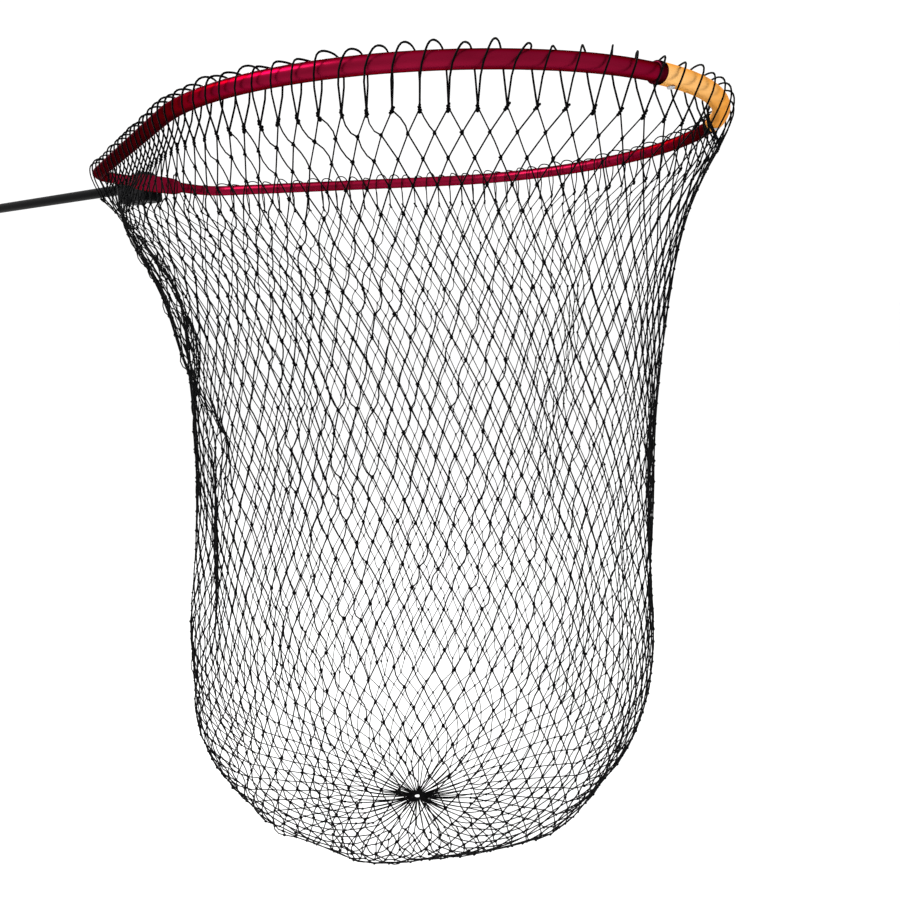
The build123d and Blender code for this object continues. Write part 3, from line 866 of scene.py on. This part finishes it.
                # a shallow arc's height from its chord and its extra length
                bow = np.minimum(np.sqrt(0.375 * length * slack), self.most_bow)
                aside = np.cross(chord, chance.normal(0, 1, chord.shape))
                aside /= np.linalg.norm(aside, axis=1, keepdims=True)
                lift = aside * bow * chance.uniform(0.35, 1.0, bow.shape)
                lift[:, 2] -= 0.3 * bow[:, 0]
                near, far = start + chord / 3 + lift, end - chord / 3 + lift
                paths += list(np.stack([start, near, far, end], axis=1))
        return paths

    def knot_places(self, row: int) -> list[Matrix]:
        """Where the knots of a row go, and how each is turned.

        Args:
            row: The row of knots.

        Returns:
            One matrix for each knot.
        """
        here = self.knots[row]
        across = np.roll(here, -1, axis=0) - np.roll(here, 1, axis=0)
        above, below = self.knots[max(row - 1, 0)], self.knots[min(row + 1, len(self.knots) - 1)]
        chance = np.random.default_rng(row + 40)
        places = []
        for index, point in enumerate(here):
            over, under = (rows[index * len(rows) // len(here)] for rows in (above, below))
            along = Vector(over - under).normalized()
            side = Vector(across[index]).normalized()
            out = along.cross(side).normalized()
            side = out.cross(along)
            turn = Matrix((side, out, along)).transposed().to_4x4()
            spin = Matrix.Rotation(chance.uniform(-0.5, 0.5), 4, "Y")
            size = Matrix.Scale(chance.uniform(0.88, 1.12), 4)
            places.append(Matrix.Translation(point) @ turn @ spin @ size)
        return places

    def mesh_knot(self) -> bpy.types.Mesh:
        """A small sheet-bend knot: a body with one turn of twine round its waist.

        Returns:
            The knot's mesh, about its own middle.
        """
        bm = bmesh.new()
        bead(bm, Vector((0, 0, 0)), Vector((1.75, 1.5, 2.5)) * MM)
        bead(bm, Vector((0.6, 0.3, 0.1)) * MM, Vector((2.0, 1.7, 1.0)) * MM)
        return baked(bm, "mesh_knot")

    def heavy_knot(self) -> bpy.types.Mesh:
        """A long knot of several hitches, where a mesh hangs from its lace.

        Returns:
            The knot's mesh, about its own middle.
        """
        bm = bmesh.new()
        for height, radius in ((3.2, 1.5), (1.0, 2.1), (-1.4, 2.4), (-3.6, 1.8)):
            lean = 0.45 if height > 0 else -0.45
            radii = Vector((radius, radius * 0.85, 1.5))
            bead(bm, Vector((lean, 0, height)) * MM, radii * MM, sides=8)
        return baked(bm, "heavy_knot")

    def lace(self, column: int, chance: np.random.Generator) -> np.ndarray:
        """Path of the lacing from one heavy knot, over the tube, to the next.

        Args:
            column: The heavy knot that it leaves.
            chance: Source of the hand-tied unevenness.

        Returns:
            The path's points.
        """
        start = Vector(self.knots[0][column])
        end = Vector(self.knots[0][(column - 1) % self.columns])
        point, _ = self.hoop.at(self.lace_share(column))
        on_transom = point.x < self.hoop.transom_x + self.hoop.shoulder_radius
        if on_transom and abs(point.y) < self.yoke_half_width:
            middle = (start + end) / 2
            middle.z = -self.hoop.press_height - self.under_transom
            ease = Vector((0.003, 0, 0.004))
            return np.array([
                start, (start + middle) / 2 + ease, middle, (end + middle) / 2 + ease, end,
            ])
        rise = chance.uniform(-0.001, 0.006)
        lean = chance.uniform(-0.12, 0.16)
        clear = 2.0 * self.lace_twine
        path = [start]
        # step along to the next knot, out of the hoop, and up, as shares of the tube's section
        for step, outward, up, lift in (
            (0.05, 1.0, -1.3, 0.0), (0.22, 1.25, -0.2, 0.0),
            (0.40 + lean, 1.15, 0.9, 0.25), (0.56 + lean, 0.55, 1.0, 0.95),
            (0.72 + lean, -0.15, 1.0, 1.05), (0.86, -0.85, 0.9, 0.7),
            (0.95, -1.3, 0.2, 0.05), (0.99, -1.15, -1.1, 0.0),
        ):
            centre, out = self.hoop.at(self.lace_share(column - step))
            half_width, half_height = self.hoop.section(centre)
            path.append(
                centre
                + out * outward * (half_width + clear)
                + Vector((0, 0, up * (half_height + clear) + lift * rise))
            )
        path.append(end)
        return np.array([tuple(p) for p in path])

    def strands(self) -> list[np.ndarray]:
        """Paths of the last strands, from the lowest knots to loops round the gather ring.

        Returns:
            One path for each strand.
        """
        last = self.knots[-1]
        apart = math.pi / len(last)
        chance = np.random.default_rng(71)
        paths = []
        for knot in last:
            start = Vector(knot)
            for side in (-0.5, 0.5):
                turn = math.atan2(start.y - self.ring_centre.y, start.x - self.ring_centre.x)
                turn += side * apart + chance.normal(0, 0.03)
                out = Vector((math.cos(turn), math.sin(turn), 0.0))
                rim = self.ring_centre + self.ring_radius * out
                chord = rim - start
                sag = Vector((0, 0, -chance.uniform(0.0, self.strand_sag)))
                aside = Vector((-chord.y, chord.x, 0)).normalized()
                aside *= chance.normal(0, self.strand_sway)
                inside = self.ring_centre + (self.ring_radius - self.ring_wire) * out
                paths.append(np.array([tuple(p) for p in (
                    start, start + chord * 0.33 + sag + aside, start + chord * 0.7 + sag - aside,
                    rim + Vector((0, 0, 0.0022)), inside + Vector((0, 0, 0.0012)),
                )]))
        return paths

    def build(self, material: bpy.types.Material) -> list[bpy.types.Object]:
        """Make every piece of the net.

        Args:
            material: The twine's material.

        Returns:
            The pieces.
        """
        pieces = []
        rows = len(self.knots) - 1
        edges = [round(rows * index / len(self.bands)) for index in range(len(self.bands) + 1)]
        small, heavy = self.mesh_knot(), self.heavy_knot()
        for name, first, last in zip(self.bands, edges, edges[1:]):
            mesh = thread_mesh(self.bars(range(first, last)), self.twine, 6, smooth=False)
            pieces.append(finish_piece(mesh, f"net_{name}", material))
            places = [
                place for row in range(first + 1, last + 1) for place in self.knot_places(row)
            ]
            tied = scatter(small, places)
            pieces.append(finish_piece(tied, f"knots_{name}", material))
        laced = scatter(heavy, self.knot_places(0))
        pieces.append(finish_piece(laced, "lace_knots", material))
        chance = np.random.default_rng(5)
        laces = [self.lace(column, chance) for column in range(self.columns)]
        lacing = thread_mesh(laces, self.lace_twine, 6, smooth=True)
        pieces.append(finish_piece(lacing, "hoop_lacing", material))
        strands = thread_mesh(self.strands(), self.twine, 6, smooth=True)
        pieces.append(finish_piece(strands, "foot_strands", material))
        for piece in pieces:
            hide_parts("net_bag")
        for template in (small, heavy):
            bpy.data.meshes.remove(template)
        return pieces


# ---------------------------------------------------------------- studio
@dataclass(frozen=True)
class Softbox:
    """A rectangular lamp that faces the hoop.

    Attributes:
        name: The lamp's name.
        place: Where it hangs from the point it faces.
        size: Its width and height.
        power: Its power in watts.
    """

    name: str
    place: tuple[float, float, float]
    size: tuple[float, float]
    power: float


@dataclass
class Studio:
    """Pale floor, soft lights and the camera.

    Attributes:
        hoop: The hoop that the camera is placed from.
        lens: The camera's focal length on a 36 mm sensor, in millimetres.
        from_transom: The camera's place from the transom's middle.
        azimuth: Where it looks, from +Y towards -X, in degrees.
        pitch: How far it looks up, in degrees.
        roll: How far it leans, in degrees.
        floor_drop: The floor below the bag.
        floor_size: The floor's side.
        aim_drop: The point that the lamps face, below the hoop's plane.
        exposure: Exposure that turns the floor and the air behind it to one white.
        lamps: The lamps.
    """

    hoop: HoopCurve
    lens: float = 29.05
    from_transom: tuple[float, float, float] = (1.0428, -0.8421, -0.1946)
    azimuth: float = 30.67
    pitch: float = -11.87
    roll: float = -1.64
    floor_drop: float = 0.28
    floor_size: float = 120.0
    aim_drop: float = 0.1
    exposure: float = 0.12
    lamps: tuple[Softbox, ...] = (
        Softbox("key_softbox", (-0.9, -1.1, 1.3), (1.2, 0.4), 36.0),
        Softbox("rim_softbox", (-1.4, 1.0, 1.2), (1.0, 0.4), 14.0),
    )

    def camera(self) -> None:
        """Set up the camera."""
        azimuth, pitch, roll = (math.radians(a) for a in (self.azimuth, self.pitch, self.roll))
        ahead = Vector((-math.sin(azimuth), math.cos(azimuth), 0.0))
        forward = ahead * math.cos(pitch) + Vector((0.0, 0.0, math.sin(pitch)))
        level = Vector((math.cos(azimuth), math.sin(azimuth), 0.0))
        upright = level.cross(forward)
        right = level * math.cos(roll) + upright * math.sin(roll)
        up = right.cross(forward)
        place = Vector((self.hoop.transom_x, 0.0, 0.0)) + Vector(self.from_transom)
        data = bpy.data.cameras.new("camera")
        data.lens = self.lens
        data.sensor_width = 36.0
        data.clip_start, data.clip_end = 0.02, 400.0
        camera = bpy.data.objects.new("camera", data)
        turn = Matrix((right, up, -forward)).transposed().to_4x4()
        camera.matrix_world = Matrix.Translation(place) @ turn
        bpy.context.scene.collection.objects.link(camera)
        bpy.context.scene.camera = camera

    def light(self, softbox: Softbox, aim: Vector) -> None:
        """Hang one softbox.

        Args:
            softbox: The softbox.
            aim: The point it faces.
        """
        data = bpy.data.lights.new(softbox.name, "AREA")
        data.shape = "RECTANGLE"
        data.size, data.size_y = softbox.size
        data.energy = softbox.power
        lamp = bpy.data.objects.new(softbox.name, data)
        back = Vector(softbox.place)
        turn = back.to_track_quat("Z", "Y").to_matrix().to_4x4()
        lamp.matrix_world = Matrix.Translation(aim + back) @ turn
        bpy.context.scene.collection.objects.link(lamp)

    def build(self) -> None:
        """Make the floor, the light and the camera."""
        low, high = CAD_BOX
        bm = bmesh.new()
        middle = Vector(((low.x + high.x) / 2, 0.0, low.z - self.floor_drop))
        bmesh.ops.create_grid(
            bm, x_segments=4, y_segments=4, size=self.floor_size / 2,
            matrix=Matrix.Translation(middle),
        )
        mesh = baked(bm, "floor")
        floor = bpy.data.objects.new("floor", mesh)
        mesh.materials.append(Finish(
            "pale_matt_paint", "FBFBFB", "F8F8F8", (400, 400, 400), (3, 3, 3), 0.02, (0.9, 0.95),
        ).build())
        bpy.context.scene.collection.objects.link(floor)
        world = bpy.data.worlds.new("studio")
        world.use_nodes = True
        sky = world.node_tree.nodes["Background"]
        sky.inputs["Color"].default_value = srgb("FFFFFF")
        sky.inputs["Strength"].default_value = 1.0
        bpy.context.scene.world = world
        bpy.context.scene.view_settings.view_transform = "Standard"
        bpy.context.scene.view_settings.exposure = self.exposure
        aim = Vector((self.hoop.transom_x + self.hoop.length / 2, 0.0, -self.aim_drop))
        for softbox in self.lamps:
            self.light(softbox, aim)
        self.camera()
        log.info("studio: floor, two softboxes and a camera")


# ---------------------------------------------------------------- assembly
def dress(name: str, material: bpy.types.Material) -> None:
    """Give one solid piece its material.

    Args:
        name: The piece's name.
        material: Its material.
    """
    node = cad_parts[name]
    node.data.materials.clear()
    node.data.materials.append(material)
    log.info("%s: %s", name, material.name)


def dress_nodes() -> None:
    """Give every solid piece but the gather ring its material."""
    made: dict[str, bpy.types.Material] = {}
    for name, finish in NODE_FINISHES.items():
        if finish.name not in made:
            made[finish.name] = finish.build()
        dress(name, made[finish.name])


def main() -> None:
    """Build the looks in order."""
    logging.basicConfig(level=logging.INFO, format="%(name)s: %(message)s")
    dress_nodes()
    twine = TWINE.build()
    dress("gather_ring", twine)
    hoop = HoopCurve()
    NetBag(hoop).build(twine)
    Studio(hoop).build()


if __name__ == "__main__":
    main()
